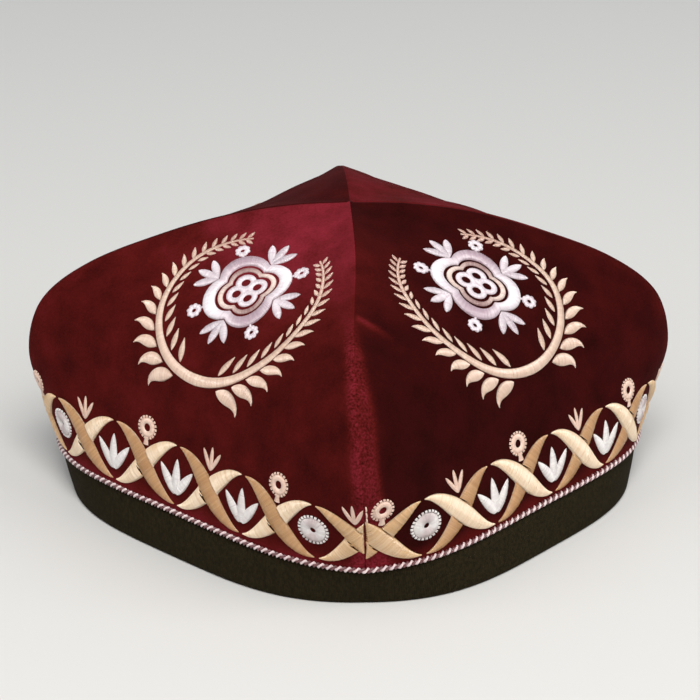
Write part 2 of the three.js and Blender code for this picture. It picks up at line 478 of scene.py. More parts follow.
# Points on a panel's smooth outer face: across runs from -1 at its first seam to 1 at its second
def panel_point(panel, across, rise):
    across, rise = np.broadcast_arrays(np.asarray(across, float), np.asarray(rise, float))
    share = ((1 + across) / 2)[..., None]
    bulge = (section("mid_out", rise) - half_width(rise)) * (1 - np.abs(across) ** section("corner", rise))
    middle_up = section("mid_up", rise) + PANELS[panel]["swell"] * bump(rise, SWELL_RISE, SWELL_REACH)
    drop = (middle_up - section("seam_up", rise)) * (1 - across * across)
    chord = seam_point(panel, rise) * (1 - share) + seam_point(panel + 1, rise) * share
    return chord + bulge[..., None] * panel_facing(panel) + drop[..., None] * UP


# The panel's own outward normals, at the apex those just below it
def panel_normal(panel, across, rise):
    left = np.maximum(across - NORMAL_STEP, -1)
    right = np.minimum(across + NORMAL_STEP, 1)
    low = np.clip(rise - NORMAL_STEP, 0, 1 - 3 * NORMAL_STEP)
    high = np.clip(rise + NORMAL_STEP, 0, 1 - NORMAL_STEP)
    level = np.minimum(rise, 1 - NORMAL_STEP)
    along = panel_point(panel, right, level) - panel_point(panel, left, level)
    upward = panel_point(panel, across, high) - panel_point(panel, across, low)
    return unit(np.cross(along, upward))


# The direction through the wall where two panels meet, long enough to keep the wall's thickness
def seam_normal(seam, rise):
    before = (seam - 1) % len(PANELS)
    total = panel_normal(before, 1.0, rise) + panel_normal(seam % len(PANELS), -1.0, rise)
    return total * 2 / np.sum(total * total, axis=-1, keepdims=True)


# The direction through a panel's wall: its own normal in the middle, the seam's at its edges
def wall_normal(panel, across, rise):
    edge = np.where((across < 0)[..., None], seam_normal(panel, rise), seam_normal(panel + 1, rise))
    share = (np.abs(across) ** MITRE_POWER)[..., None]
    return panel_normal(panel, across, rise) * (1 - share) + edge * share


# How far a panel's crease stands out, from 0 to 1
def panel_crease(panel, across, rise):
    from_seam = (1 + across) * half_width(rise)
    below = (CREASE_RISE - CREASE_FALL * from_seam - rise) * PANEL_LENGTH / CREASE_WIDTH
    start = np.clip(from_seam / CREASE_START, 0, 1)
    end = np.clip((CREASE_REACH - from_seam) / CREASE_FADE, 0, 1)
    return SHEENS[panel]["crease"] * (start * end) * np.exp(-below * below)


# How far the velvet stands above the smooth face: uneven, creased, and rolled in beside the seams
def velvet_relief(panel, across, rise, point):
    height = np.zeros(np.shape(across))
    for wavelength, wave_height, direction in UNEVEN_ROWS:
        height = height + wave_height * np.sin(point @ np.array(direction) * (2 * np.pi / wavelength))
    from_seam = (1 - np.abs(across)) * half_width(rise)
    roll = np.clip(1 - from_seam / SEAM_ROLL_REACH, 0, 1) ** 2
    crease = CREASE_HEIGHT * panel_crease(panel, across, rise)
    return height * np.clip(from_seam / UNEVEN_FADE, 0, 1) + crease - SEAM_ROLL * roll


# Points at a lift above a panel's velvet
def velvet_point(panel, across, rise, lift):
    point = panel_point(panel, across, rise)
    height = velvet_relief(panel, across, rise, point) + lift
    return point + panel_normal(panel, across, rise) * height[..., None] + stand_off(panel)


# Steps from -1 to 1, closer together towards both ends
def across_steps(count):
    return -np.cos(np.pi * np.arange(count + 1) / count)


# A mesh object that rides on the cap, from points in millimetres and faces
def add_piece(name, points, faces, material):
    mesh = bpy.data.meshes.new(name)
    mesh.from_pydata((points * MM).tolist(), [], faces)
    mesh.materials.append(material)
    mesh.polygons.foreach_set("use_smooth", np.ones(len(mesh.polygons), dtype=bool))
    mesh.update()
    piece = bpy.data.objects.new(name, mesh)
    bpy.context.scene.collection.objects.link(piece)
    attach(piece, "root")
    return piece


# Numbers or vectors stored on a piece's points, for its material to read
def store(piece, name, values):
    values = np.asarray(values, dtype=np.float32)
    kind, key = ("FLOAT", "value") if values.ndim == 1 else ("FLOAT_VECTOR", "vector")
    attribute = piece.data.attributes.new(name, kind, "POINT")
    attribute.data.foreach_set(key, values.ravel())


# Quads of a grid of points, rows by columns
def grid_faces(rows, columns):
    row, column = np.meshgrid(np.arange(rows - 1), np.arange(columns - 1), indexing="ij")
    corner = row * columns + column
    quads = np.stack((corner, corner + 1, corner + columns + 1, corner + columns), axis=-1)
    return quads.reshape(-1, 4)


# Quads of a closed tube: rounds of points, each joined to the next, and at the end the last to the first
def tube_faces(rounds, sides):
    place, side = np.meshgrid(np.arange(rounds), np.arange(sides), indexing="ij")
    here = place * sides
    after = (place + 1) % rounds * sides
    following = (side + 1) % sides
    quads = np.stack((here + side, after + side, after + following, here + following), axis=-1)
    return quads.reshape(-1, 4)


# A node with some of its inputs set, or linked where a socket is given
def add_node(tree, kind, inputs=None, **settings):
    node = tree.nodes.new(kind)
    for name, value in settings.items():
        setattr(node, name, value)
    for key, value in (inputs or {}).items():
        if isinstance(value, bpy.types.NodeSocket):
            tree.links.new(value, node.inputs[key])
        else:
            node.inputs[key].default_value = value
    return node


# The result of arithmetic on sockets or numbers
def calc(tree, operation, *values):
    return add_node(tree, "ShaderNodeMath", dict(enumerate(values)), operation=operation).outputs[0]


# The shader's colour, from a ramp read at a socket: stops are places and colours
def add_colour(tree, factor, stops):
    node = add_node(tree, "ShaderNodeValToRGB", {"Fac": factor})
    elements = node.color_ramp.elements
    for place, _ in stops[1:-1]:
        elements.new(place)
    for element, (place, colour) in zip(elements, stops):
        element.position = place
        element.color = (*colour, 1.0)
    tree.links.new(node.outputs["Color"], tree.nodes[SHADER].inputs["Base Color"])


# A noise texture's value; scale is in repeats for each metre
def noise(tree, scale, detail):
    vector = add_node(tree, "ShaderNodeTexCoord").outputs["Object"]
    node = add_node(tree, "ShaderNodeTexNoise", {"Vector": vector, "Scale": scale, "Detail": detail})
    return node.outputs["Fac"]


# A stored number or vector of the piece
def stored(tree, name, output="Fac"):
    return add_node(tree, "ShaderNodeAttribute", attribute_name=name).outputs[output]


# A new material with one shader, whose sockets are named in small letters
def new_material(name, **sockets):
    material = bpy.data.materials.new(name)
    material.use_nodes = True
    inputs = material.node_tree.nodes[SHADER].inputs
    for key, value in sockets.items():
        inputs[key.replace("_", " ").title().replace("Ior", "IOR")].default_value = value
    return material, material.node_tree


# A bump on the shader's normal
def add_bump(tree, height, distance, strength=1.0):
    settings = {"Height": height, "Distance": distance, "Strength": strength}
    node = add_node(tree, "ShaderNodeBump", settings)
    tree.links.new(node.outputs["Normal"], tree.nodes[SHADER].inputs["Normal"])


# Maroon velvet: painted sheen and shade make it darker or brighter, unevenly brushed, its fine pile rougher
# in the painted highlight along the seams
def make_velvet():
    material, tree = new_material(
        "velvet", roughness=0.9, specular_ior_level=0.04,
        sheen_weight=0.06, sheen_roughness=0.3, sheen_tint=(0.9, 0.16, 0.20, 1.0),
    )
    pile = noise(tree, scale=1300.0, detail=3.0)
    brushed = noise(tree, scale=90.0, detail=3.0)
    contrast = calc(tree, "MULTIPLY_ADD", stored(tree, "seam_highlight"), HIGHLIGHT_CONTRAST, PILE_CONTRAST)
    grain = calc(tree, "MULTIPLY", calc(tree, "SUBTRACT", pile, 0.5), contrast)
    sweep = calc(tree, "MULTIPLY_ADD", brushed, BRUSH_CONTRAST, BRUSH_LEAST)
    painted_sheen = calc(tree, "MULTIPLY", stored(tree, "painted_sheen"), calc(tree, "ADD", grain, sweep))
    add_colour(tree, painted_sheen, VELVET_COLOURS)
    add_bump(tree, pile, distance=0.0003, strength=0.6)
    return material


# The panels' inner face: the velvet's plain woven back
def make_backing():
    material, tree = new_material("velvet_back", roughness=0.9, specular_ior_level=0.2)
    weave = noise(tree, scale=1100.0, detail=1.0)
    add_colour(tree, weave, BACK_COLOURS)
    add_bump(tree, weave, distance=0.0003)
    return material


# Glossy embroidery thread whose tone differs from stitch to stitch, through colours from deep to pale; the
# tone holds painted sheen and shade beside the thread's own colour
def make_thread(name, gloss, *colours):
    material, tree = new_material(name, roughness=0.30, specular_ior_level=gloss, ior=2.0)
    add_colour(tree, stored(tree, "tone_and_sheen"), tuple(zip(np.linspace(0, 1, len(colours)), colours)))
    add_bump(tree, noise(tree, scale=5000.0, detail=1.0), distance=0.00008)
    return material


# The binding's black ribbon: fine upright ribs crossed by a finer weft
def make_ribbon():
    material, tree = new_material("black_ribbon", roughness=0.9, specular_ior_level=0.08)
    parts = add_node(tree, "ShaderNodeSeparateXYZ", {"Vector": stored(tree, "cloth", "Vector")})
    rib = calc(tree, "SINE", calc(tree, "MULTIPLY", parts.outputs["X"], 2 * math.pi / RIB_PITCH))
    weft = calc(tree, "SINE", calc(tree, "MULTIPLY", parts.outputs["Y"], 2 * math.pi / WEFT_PITCH))
    add_colour(tree, noise(tree, scale=900.0, detail=3.0), RIBBON_COLOURS)
    add_bump(tree, calc(tree, "MULTIPLY_ADD", weft, WEFT_SHARE, rib), distance=0.00008)
    return material


# How strong the painted highlight along the seams is, from 0 to 1
def panel_seam_highlight(panel, across, rise):
    lower = np.clip((HIGHLIGHT_TOP - rise) / HIGHLIGHT_SPREAD, 0, 1)
    highlight = np.zeros(np.shape(across))
    for seam, edge in ((panel, -1), (panel + 1, 1)):
        from_seam = (across - edge) * half_width(rise)
        beyond_left = np.tanh((from_seam + HIGHLIGHT_LEFT) / HIGHLIGHT_SOFT)
        beyond_right = np.tanh((from_seam - HIGHLIGHT_RIGHT * lower) / HIGHLIGHT_SOFT)
        highlight = highlight + SEAMS[seam % len(SEAMS)]["highlight"] * (beyond_left - beyond_right) / 2
    return highlight * np.clip(lower / HIGHLIGHT_FADE, 0, 1)


# The velvet's painted sheen and shade: by the panel's table, with painted highlights along the seams and on
# the crease, and painted light at the foot
def panel_sheen(panel, across, rise):
    row = SHEENS[panel]
    share = np.clip((rise - SHEEN_TOP_FROM) / (SHEEN_TOP_TO - SHEEN_TOP_FROM), 0, 1)
    upper = share * share * (3 - 2 * share)
    sideways = across * half_width(rise) / SHEEN_REACH
    first = np.maximum(-sideways, 0)
    second = np.maximum(sideways, 0)
    low = row["low"] + row["low_first"] * first + row["low_second"] * second
    top = row["top"] + row["top_first"] * first + row["top_second"] * second
    foot = FOOT_PAINTED_LIGHT * np.clip(1 - rise / FOOT_PAINTED_LIGHT_TOP, 0, 1)
    painted_highlights = SEAM_PAINTED_HIGHLIGHT * panel_seam_highlight(panel, across, rise) + CREASE_PAINTED_HIGHLIGHT * panel_crease(panel, across, rise)
    return np.maximum(low + upper * top, 0) + painted_highlights + foot


# One crown panel of velvet: an outer face, an inner face and the edges between them
def make_panel(panel, velvet, backing):
    columns = across_steps(ACROSS_STEPS)
    rises = np.arange(RISE_STEPS) / RISE_STEPS
    across, rise = np.meshgrid(columns, rises)
    outer = velvet_point(panel, across, rise, np.zeros_like(across))
    through = wall_normal(panel, across, rise) * VELVET_WALL
    inner = panel_point(panel, across, rise) - through + stand_off(panel)
    tip = panel_point(panel, 0.0, 1.0) + stand_off(panel)
    width = len(columns)
    count = across.size
    points = np.concatenate((outer.reshape(-1, 3), [tip], inner.reshape(-1, 3), [tip - UP * VELVET_WALL]))
    inner_first = count + 1
    outer_faces = grid_faces(RISE_STEPS, width).tolist()
    top = count - width
    outer_faces += [(top + i, top + i + 1, count) for i in range(width - 1)]
    faces = outer_faces + [[inner_first + corner for corner in face[::-1]] for face in outer_faces]
    faces += [(inner_first + i, inner_first + i + 1, i + 1, i) for i in range(width - 1)]
    first_edge = [*range(0, count, width), count]
    faces += [(inner_first + a, a, b, inner_first + b) for a, b in zip(first_edge, first_edge[1:])]
    second_edge = [*range(width - 1, count, width), count]
    faces += [(a, inner_first + a, inner_first + b, b) for a, b in zip(second_edge, second_edge[1:])]
    row = PANELS[panel]
    piece = add_piece("velvet_" + row["name"], points, faces, velvet)
    piece.data.materials.append(backing)
    inside = np.arange(len(faces)) >= len(outer_faces)
    piece.data.polygons.foreach_set("material_index", inside.astype(np.int32))
    # The painted sheen and shade, and the painted highlight along the seams, stored on the points for the
    # velvet's colour
    for name, measure in (("painted_sheen", panel_sheen), ("seam_highlight", panel_seam_highlight)):
        values = np.append(measure(panel, across, rise), measure(panel, 0.0, 1.0))
        store(piece, name, np.tile(values, 2))
    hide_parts("panel_" + row["name"])


# Points on the rim's outline on the table, and the outline's outward normals there
def rim_outline(panel, across):
    facing = panel_facing(panel)
    sideways = np.cross(UP, facing)
    chord_out = RIM_SEAM_OUT * HALF_SIDE
    bulge = PANELS[panel]["rim_out"] - chord_out
    slope = bulge * RIM_CORNER * np.abs(across) ** (RIM_CORNER - 1) / chord_out * np.sign(across)
    normal = unit(facing + slope[..., None] * sideways)
    out = chord_out + bulge * (1 - np.abs(across) ** RIM_CORNER)
    return out[..., None] * facing + (chord_out * across)[..., None] * sideways, normal


# The binding: a folded ribbon, round at its lower edge, with a thin lip inside the crown
def make_binding(ribbon):
    columns = across_steps(BINDING_STEPS)[:-1]
    lower = np.zeros_like(columns)
    behind = VELVET_WALL + SEAT_GAP
    sections = []
    for panel in range(len(PANELS)):
        foot, normal = rim_outline(panel, columns)
        wall = wall_normal(panel, columns, lower)
        head = panel_point(panel, columns, lower) - UP * SEAT_GAP
        lip = panel_point(panel, columns, lower + LIP_RISE)
        lip_wall = wall_normal(panel, columns, lower + LIP_RISE)
        rows = []
        for turn in BINDING_TURNS:
            angle = math.radians(turn)
            inset = BINDING_ROUND * (1 - math.sin(angle))
            rows.append(foot - normal * inset + UP * BINDING_ROUND * (1 - math.cos(angle)))
        side = rows[-1]
        for share in BINDING_SHARES:
            swell = BINDING_BULGE * math.sin(math.pi * share)
            rows.append(side + (head - side) * share + normal * swell)
        inner_foot = foot - normal * RIM_WALL
        rows += [
            head - wall * BINDING_ROUND * HEAD_ROUND,
            head - wall * behind,
            lip - lip_wall * behind,
            lip - lip_wall * (behind + LIP_WALL),
            head - wall * (behind + LIP_WALL),
            inner_foot + UP * BINDING_ROUND,
            inner_foot + (normal + UP) * BINDING_ROUND * INNER_ROUND,
            inner_foot + normal * BINDING_ROUND,
        ]
        sections.append(np.stack(rows, axis=1))
    rings = np.concatenate(sections)
    faces = tube_faces(*rings.shape[:2])
    piece = add_piece("ribbon_binding", rings.reshape(-1, 3), faces.tolist(), ribbon)
    outer_row = len(BINDING_TURNS) + 1
    height = arc_length(rings, axis=1)
    along = np.broadcast_to(arc_length(rings[:, outer_row])[:, None], height.shape)
    cloth = np.stack((along, height, np.zeros_like(height)), axis=-1)
    store(piece, "cloth", cloth.reshape(-1, 3))
    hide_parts("rim_binding")


# The twisted cord of two plies, carried once round the velvet's lower edge
def make_cord(material):
    columns = np.linspace(-1, 1, CORD_COLUMNS, endpoint=False)
    level = np.full_like(columns, CORD_UP / PANEL_LENGTH)
    path = np.concatenate([panel_point(panel, columns, level) for panel in range(len(PANELS))])
    normals = np.concatenate([panel_normal(panel, columns, level) for panel in range(len(PANELS))])
    closed = np.concatenate((path, path[:1]))
    along = arc_length(closed)
    turns = round(along[-1] / CORD_PITCH)
    count = turns * CORD_TURN_STEPS
    at = np.arange(count) * along[-1] / count
    centre = read_along(at, along, closed)
    out = unit(read_along(at, along, np.concatenate((normals, normals[:1]))))
    forward = unit(np.roll(centre, -1, axis=0) - np.roll(centre, 1, axis=0))
    over = unit(np.cross(out, forward))
    angles = 2 * np.pi * np.arange(CORD_SIDES)[None, :, None] / CORD_SIDES
    around = np.cos(angles) * out[:, None] + np.sin(angles) * over[:, None]
    ply = np.arange(len(CORD_TONES))[:, None]
    turn = 2 * np.pi * np.arange(count) / CORD_TURN_STEPS + 2 * np.pi * ply / len(CORD_TONES)
    spoke = np.cos(turn)[..., None] * out + np.sin(turn)[..., None] * over
    middle = centre + spoke * CORD_OFFSET + out * CORD_OFFSET
    points = (middle[:, :, None] + around * CORD_PLY).reshape(-1, 3)
    # Each quad starts one corner later than the binding's, and so splits the other way
    quads = np.roll(tube_faces(count, CORD_SIDES), -1, axis=1)
    faces = (quads + ply[..., None] * count * CORD_SIDES).reshape(-1, 4)
    piece = add_piece("edge_cord", points, faces.tolist(), material)
    store(piece, "tone_and_sheen", np.repeat(CORD_TONES, count * CORD_SIDES))


# The panel's own steps for a place in its border: sideways from its middle, up from its lower edge
def border_place(panel, sideways, upwards):
    row = PANELS[panel]
    sideways = sideways + row["border_shift"] + row["border_bow"] * (1 - (sideways / BORDER_HALF) ** 2)
    columns, levels = BORDER_GRID
    steps = np.linspace(-1, 1, columns)
    rises = np.linspace(0, BORDER_TOP, levels)
    lengths = arc_length(panel_point(panel, steps[None, :], rises[:, None]), axis=1)
    wholes = lengths[:, -1]
    lower = lengths[0] - wholes[0] / 2
    upwards = upwards + row["border_raise"]
    rise = upwards / PANEL_LENGTH
    for _ in range(BORDER_ROUNDS):
        stretch = np.interp(rise, rises, wholes) / wholes[0]
        across = np.interp(sideways / stretch, lower, steps)
        from_edge = panel_point(panel, across, rise) - panel_point(panel, across, 0.0)
        reached = np.linalg.norm(from_edge, axis=-1)
        rise = np.clip(rise * upwards / np.maximum(reached, REACH_LEAST), *BORDER_LIMITS)
    return across, rise


# The panel's own steps for a place on its upper part: up its middle line, then straight sideways
def medallion_place(panel, sideways, upwards):
    row = MEDALLIONS[panel]
    height = (upwards - MEDALLION_UP) * row["scale"]
    upwards = MEDALLION_UP + row["raise"] + height
    sideways = row["shift"] + sideways * row["scale"] + row["lean"] * height
    rises = np.linspace(0, MIDDLE_TOP, MIDDLE_STEPS)
    rise = np.interp(upwards, arc_length(panel_point(panel, 0.0, rises)), rises)
    middle = panel_point(panel, 0.0, rise)
    uphill = (panel_point(panel, 0.0, rise + NORMAL_STEP) - middle) / NORMAL_STEP
    per_rise = np.linalg.norm(uphill, axis=-1)
    uphill = unit(uphill)
    for _ in range(MEDALLION_ROUNDS):
        across = np.clip(sideways / half_width(rise), -SEAM_EDGE, SEAM_EDGE)
        slip = np.sum((panel_point(panel, across, rise) - middle) * uphill, axis=-1)
        rise = np.clip(rise - slip / per_rise, *MEDALLION_LIMITS)
    return across, rise


# The panel's own steps for a place beside its first seam: sideways from the seam, and up along it
def seam_place(panel, sideways, upwards):
    rise = upwards / PANEL_LENGTH
    return sideways / half_width(rise) - 1, rise


# Directions on a flat pattern, turned to the left by a quarter turn
def leftwards(directions):
    return np.stack((-directions[..., 1], directions[..., 0]), axis=-1)


# Satin stitches square to a path whose half width changes along it: their starts and ends
def satin(path, halves):
    along = arc_length(path)
    count = max(int(round(along[-1] / STITCH_PITCH)), 2)
    at = (np.arange(count) + 0.5) * along[-1] / count
    centre = read_along(at, along, path)
    normal = leftwards(read_along(at, along, unit(np.gradient(path, axis=0))))
    half = np.interp(at, along, halves)[:, None]
    return np.stack((centre - normal * half, centre + normal * half), axis=1)


# Satin stitches up a short straight foot
def foot_stitches(rows):
    ends, halves = np.array(rows).T
    return satin(np.stack((np.zeros_like(ends), ends), axis=-1), halves)


# Stitches round a ring, from its inner to its outer edge, each given at every angle
def ring(outer, inner):
    reach = np.max(outer(np.linspace(0, 2 * np.pi, RING_STEPS)))
    count = int(round(2 * np.pi * reach / STITCH_PITCH))
    angle = 2 * np.pi * np.arange(count) / count
    spoke = np.stack((np.cos(angle), np.sin(angle)), axis=-1)
    return np.stack((spoke * inner(angle)[:, None], spoke * outer(angle)[:, None]), axis=1)


# A round edge, with small lobes where their depth is given
def circle(radius, depth=0.0, lobes=0):
    return lambda angle: radius - depth + depth * np.abs(np.sin(lobes * angle / 2))


# A quatrefoil's edge, its four lobes on the diagonals
def foil(centre, radius):
    def edge(angle):
        off = np.mod(angle, np.pi / 2) - np.pi / 4
        return centre * np.cos(off) + np.sqrt(radius ** 2 - (centre * np.sin(off)) ** 2)

    return edge


# A ring, and the beads round it: each is a pair of short stitches that point outwards
def beaded_ring(hole, radius, count, reach):
    inner = radius - BEAD_OVERLAP
    pair = np.array([((inner, side), (reach, side)) for side in (-BEAD_SPREAD, BEAD_SPREAD)])
    beads = np.concatenate([moved(pair, 360.0 * bead / count) for bead in range(count)])
    return ring(circle(radius), circle(hole)), beads


# The width along a petal or a leaf, 1 at its widest: a smaller power is blunter at that end
def spindle(share, powers):
    base_power, tip_power = powers
    shape = share ** base_power * (1 - share) ** tip_power
    return shape / shape.max()


# Petals that open from one base on the middle line
def sprig(base, petals, powers):
    share = np.linspace(0, 1, PETAL_STEPS)
    made = []
    for sideways, upwards, half in petals:
        path = np.array((0.0, base)) + share[:, None] * np.array((sideways, upwards))
        made.append(satin(path, half * spindle(share, powers)))
    return np.concatenate(made)


# Stitches turned by an angle in degrees, then moved
def moved(stitches, turn=0.0, by=(0.0, 0.0)):
    angle = math.radians(turn)
    rotation = np.array(((math.cos(angle), math.sin(angle)), (-math.sin(angle), math.cos(angle))))
    return stitches @ rotation + np.array(by)


# The part of each stitch where a clearance, read at places along it, is above zero; also which have one
def trimmed(stitches, clearance):
    shares = np.linspace(0, 1, TRIM_STEPS)
    start = stitches[:, 0]
    reach = stitches[:, 1] - start
    clear = clearance(start[:, None] + shares[None, :, None] * reach[:, None]) > 0
    first = shares[np.argmax(clear, axis=1)][:, None]
    last = shares[::-1][np.argmax(clear[:, ::-1], axis=1)][:, None]
    parts = np.stack((start + reach * first, start + reach * last), axis=1)
    kept = clear.any(axis=1)
    return parts[kept], kept


# Half of a strand's width, at a share of the way from its crossing to its point
def strand_half(share):
    return STRAND_HALF * np.clip(1 - (np.abs(share) / STRAND_REACH) ** STRAND_TAPER, 0, 1)


# The middle of a strand, up from its crossing; lean is -1 for \ and 1 for /
def strand_up(share, lean):
    return lean * BORDER_SWING * np.sin(share * np.pi / 2)


# One strand of the border's twist round a crossing
def strand(lean):
    share = np.linspace(-STRAND_REACH, STRAND_REACH, STRAND_STEPS)
    path = np.stack((share * BORDER_PITCH / 2, strand_up(share, lean)), axis=-1)
    return satin(path, strand_half(share))


# How far places lie beyond the strand that passes over the crossing, above it or below it
def beyond_strand(places, lean, side):
    share = np.clip(places[..., 0] / (BORDER_PITCH / 2), -1, 1)
    slope = lean * BORDER_SWING * np.pi / BORDER_PITCH * np.cos(share * np.pi / 2)
    distance = (places[..., 1] - strand_up(share, lean)) / np.sqrt(1 + slope * slope)
    return side * distance - strand_half(share) + STRAND_OVERLAP


# Places a pitch apart along the border, centred on its middle
def border_places(count):
    return BORDER_PITCH * (np.arange(count) - (count - 1) / 2)


# The border's gold twist and its tones: at every crossing one strand lies over the other, and a painted
# sheen makes one strand paler than the other
def twist_stitches(painted_gleam):
    over = strand(-1.0)
    under = np.concatenate([
        trimmed(strand(1.0), lambda places: beyond_strand(places, -1.0, side))[0] for side in (-1.0, 1.0)
    ])
    crossing = np.concatenate((over, under))
    tone_and_sheen = np.where(np.arange(len(crossing)) < len(over), painted_gleam / 2, -painted_gleam / 2)
    places = border_places(BORDER_CROSSINGS)
    stitches = [moved(crossing, by=(sideways, BORDER_MIDDLE)) for sideways in places]
    # The crossings at the border's ends get only a share of the painted sheen
    strength = np.where(np.isclose(np.abs(places), BORDER_HALF), END_PAINTED_GLEAM, 1.0)
    return np.concatenate(stitches), np.outer(strength, tone_and_sheen).ravel()


# The border's white flowers and their tones: tulips in its inner openings, rosettes in its outer ones,
# whose upright stitches are deeper with painted shade
def flower_stitches():
    tulip = sprig(TULIP_BASE + BORDER_MIDDLE, TULIP_PETALS, TULIP_POWERS)
    disc, beads = beaded_ring(*ROSETTE)
    rosette = moved(np.concatenate((disc, beads)), by=(0.0, ROSETTE_UP))
    # Painted shade: the rosette's stitches that point up or down are made deeper
    upright = unit(disc[:, 1])[:, 1] ** 2
    rosette_tone_and_shade = FLOWER_TONE - ROSETTE_PAINTED_SHADE * np.append(upright, np.zeros(len(beads)))
    first, *inner, last = border_places(BORDER_CROSSINGS - 1)
    made = [moved(rosette, by=(first + ROSETTE_INSET, 0.0))]
    made += [moved(tulip, by=(sideways, 0.0)) for sideways in inner]
    made.append(moved(rosette, by=(last - ROSETTE_INSET, 0.0)))
    tulip_tone = np.full(len(tulip) * len(inner), FLOWER_TONE)
    return np.concatenate(made), np.concatenate((rosette_tone_and_shade, tulip_tone, rosette_tone_and_shade))


# What stands on the border's crossings: beaded rings and sprigs by turns
def topper_stitches():
    ringed = moved(np.concatenate(beaded_ring(*TOPPER_RING)), by=(0.0, TOPPER_RING_UP))
    ringed = np.concatenate((ringed, foot_stitches(TOPPER_FOOT)))
    leafy = sprig(TOPPER_BASE, TOPPER_PETALS, TOPPER_POWERS)
    made = []
    for index, sideways in enumerate(border_places(BORDER_CROSSINGS)):
        topper = ringed if index % 2 == 0 else leafy
        made.append(moved(topper, by=(sideways, 0.0)))
    return np.concatenate(made)


# The short row of stitches up the front seam
def tack_stitches():
    ends = np.linspace(*TACK_SPAN, TACK_COUNT + 1)
    line = np.stack((np.full_like(ends, TACK_OFFSET), ends), axis=-1)
    return np.stack((line[:-1], line[1:]), axis=1)


# A point of the wreath, at an angle from its bottom and a radius
def wreath_point(angle, radius):
    turn = np.radians(angle)
    return np.stack((radius * np.sin(turn), -radius * np.cos(turn)), axis=-1)


# One leaf of the wreath: it leaves the stem towards the wreath's tip, and its own tip curls away
def leaf(angle, base, length, width, lean, curl):
    share = np.linspace(0, 1, PETAL_STEPS)
    heading_angle = np.radians(lean + curl * (share ** CURL_POWER - 1 / (CURL_POWER + 1)))
    outwards = wreath_point(angle, 1.0)
    towards_tip = leftwards(outwards)
    heading = np.cos(heading_angle)[:, None] * towards_tip + np.sin(heading_angle)[:, None] * outwards
    path = wreath_point(angle, WREATH_RADIUS + base) + np.cumsum(heading, axis=0) * length / len(share)
    return satin(path, length * width / 2 * spindle(share, LEAF_POWERS))


# One side of the wreath's leaves
def leaf_row(leaves):
    made = []
    angle = leaves["angle"][0]
    while angle < WREATH_TIP:
        here = {column: np.interp(angle, leaves["angle"], leaves[column]) for column in LEAF_COLUMNS}
        step = here.pop("step")
        made.append(leaf(**here))
        angle += step
    return np.concatenate(made)


# The wreath's stem and leaves and their tones; the left half mirrors the right
def wreath_stitches(shift):
    angle = np.linspace(0, WREATH_TIP, STEM_STEPS)
    stem = satin(wreath_point(angle, WREATH_RADIUS), np.interp(angle, STEM_ANGLES, STEM_WIDTHS) / 2)
    half = np.concatenate((stem, leaf_row(OUTER_LEAVES), leaf_row(INNER_LEAVES)))
    stitches = np.concatenate((half, half * np.array((-1.0, 1.0))))
    tone_and_sheen = -WREATH_FADE * np.clip((stitches[:, 0, 1] - WREATH_FADE_FROM) / WREATH_FADE_REACH, 0, 1)
    return stitches + np.array((shift, MEDALLION_UP - WREATH_DROP)), tone_and_sheen


# Painted sheen on a quatrefoil's stitches: two of its lobes look paler than the two between them
def lobe_painted_sheen(stitches, painted_gleam):
    angle = np.arctan2(stitches[:, 1, 1], stitches[:, 1, 0])
    return -painted_gleam / 2 * np.sin(2 * angle)


# The medallion in white and its tones, with painted sheen on the quatrefoil's lobes: a quatrefoil round a
# flower, with small rings and sprigs outside
def medallion_stitches(painted_gleam):
    lobes = ring(foil(*FOIL_OUTER), foil(*FOIL_INNER))
    made = [ring(circle(FLOWER_MIDDLE), circle(FLOWER_MIDDLE_HOLE))]
    petal = moved(ring(circle(FLOWER_RADIUS), circle(FLOWER_HOLE)), by=(0.0, FLOWER_CENTRE))
    petal_ring = moved(ring(circle(*PETAL_RING_EDGE), circle(PETAL_RING_HOLE)), by=(0.0, PETAL_RING_OUT))
    diagonal = np.concatenate((petal, petal_ring, foot_stitches(PETAL_FOOT)))
    for turn in (0.0, 90.0, 180.0, 270.0):
        made.append(moved(sprig(SPRIG_BASE, SPRIG_PETALS, SPRIG_POWERS), turn))
        made.append(moved(diagonal, turn + 45.0))
    others = np.concatenate(made)
    tone_and_sheen = np.concatenate((MEDALLION_TONE + lobe_painted_sheen(lobes, painted_gleam), np.zeros(len(others))))
    return np.concatenate((lobes, others)) + np.array((0.0, MEDALLION_UP)), tone_and_sheen


# The medallion's pink band inside the quatrefoil, and its tones, a painted sheen on two of its lobes
def band_stitches(painted_gleam):
    stitches = ring(foil(*BAND_OUTER), foil(*BAND_INNER))
    return stitches + np.array((0.0, MEDALLION_UP)), lobe_painted_sheen(stitches, painted_gleam)


